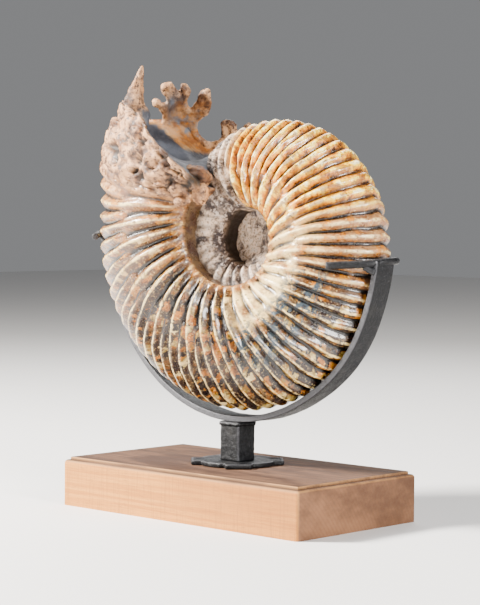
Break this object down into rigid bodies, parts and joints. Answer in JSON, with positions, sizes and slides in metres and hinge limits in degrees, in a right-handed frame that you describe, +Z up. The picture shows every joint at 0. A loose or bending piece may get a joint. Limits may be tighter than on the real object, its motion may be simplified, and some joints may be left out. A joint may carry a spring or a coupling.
{
  "type": "ammonite fossil on stand",
  "caption": "Large ribbed fossil ammonite with a broken aperture, held upright in a forged iron cradle with forked ends on a wooden plinth.",
  "frame": {"origin": "centre of the plinth's underside", "axes": "+X along the plinth's length, to the right as seen from the front; -Y is the front, the side that the fossil's umbilicus faces; +Z is up, out of the plinth's top"},
  "size_m": [0.3789, 0.1995, 0.449],
  "materials": {
    "fossil": "polished stone and nacre, satin on the crests, rough in the pits",
    "blackened_iron": "matte black, textured",
    "oiled_wood": "oiled, matte"
  },
  "bodies": {
    "root": {"ammonite": "fossil", "cradle_bar": "blackened_iron", "right_fork": "blackened_iron", "left_fork": "blackened_iron", "post": "blackened_iron", "foot_plate": "blackened_iron", "plinth": "oiled_wood"}
  },
  "joints": []
}
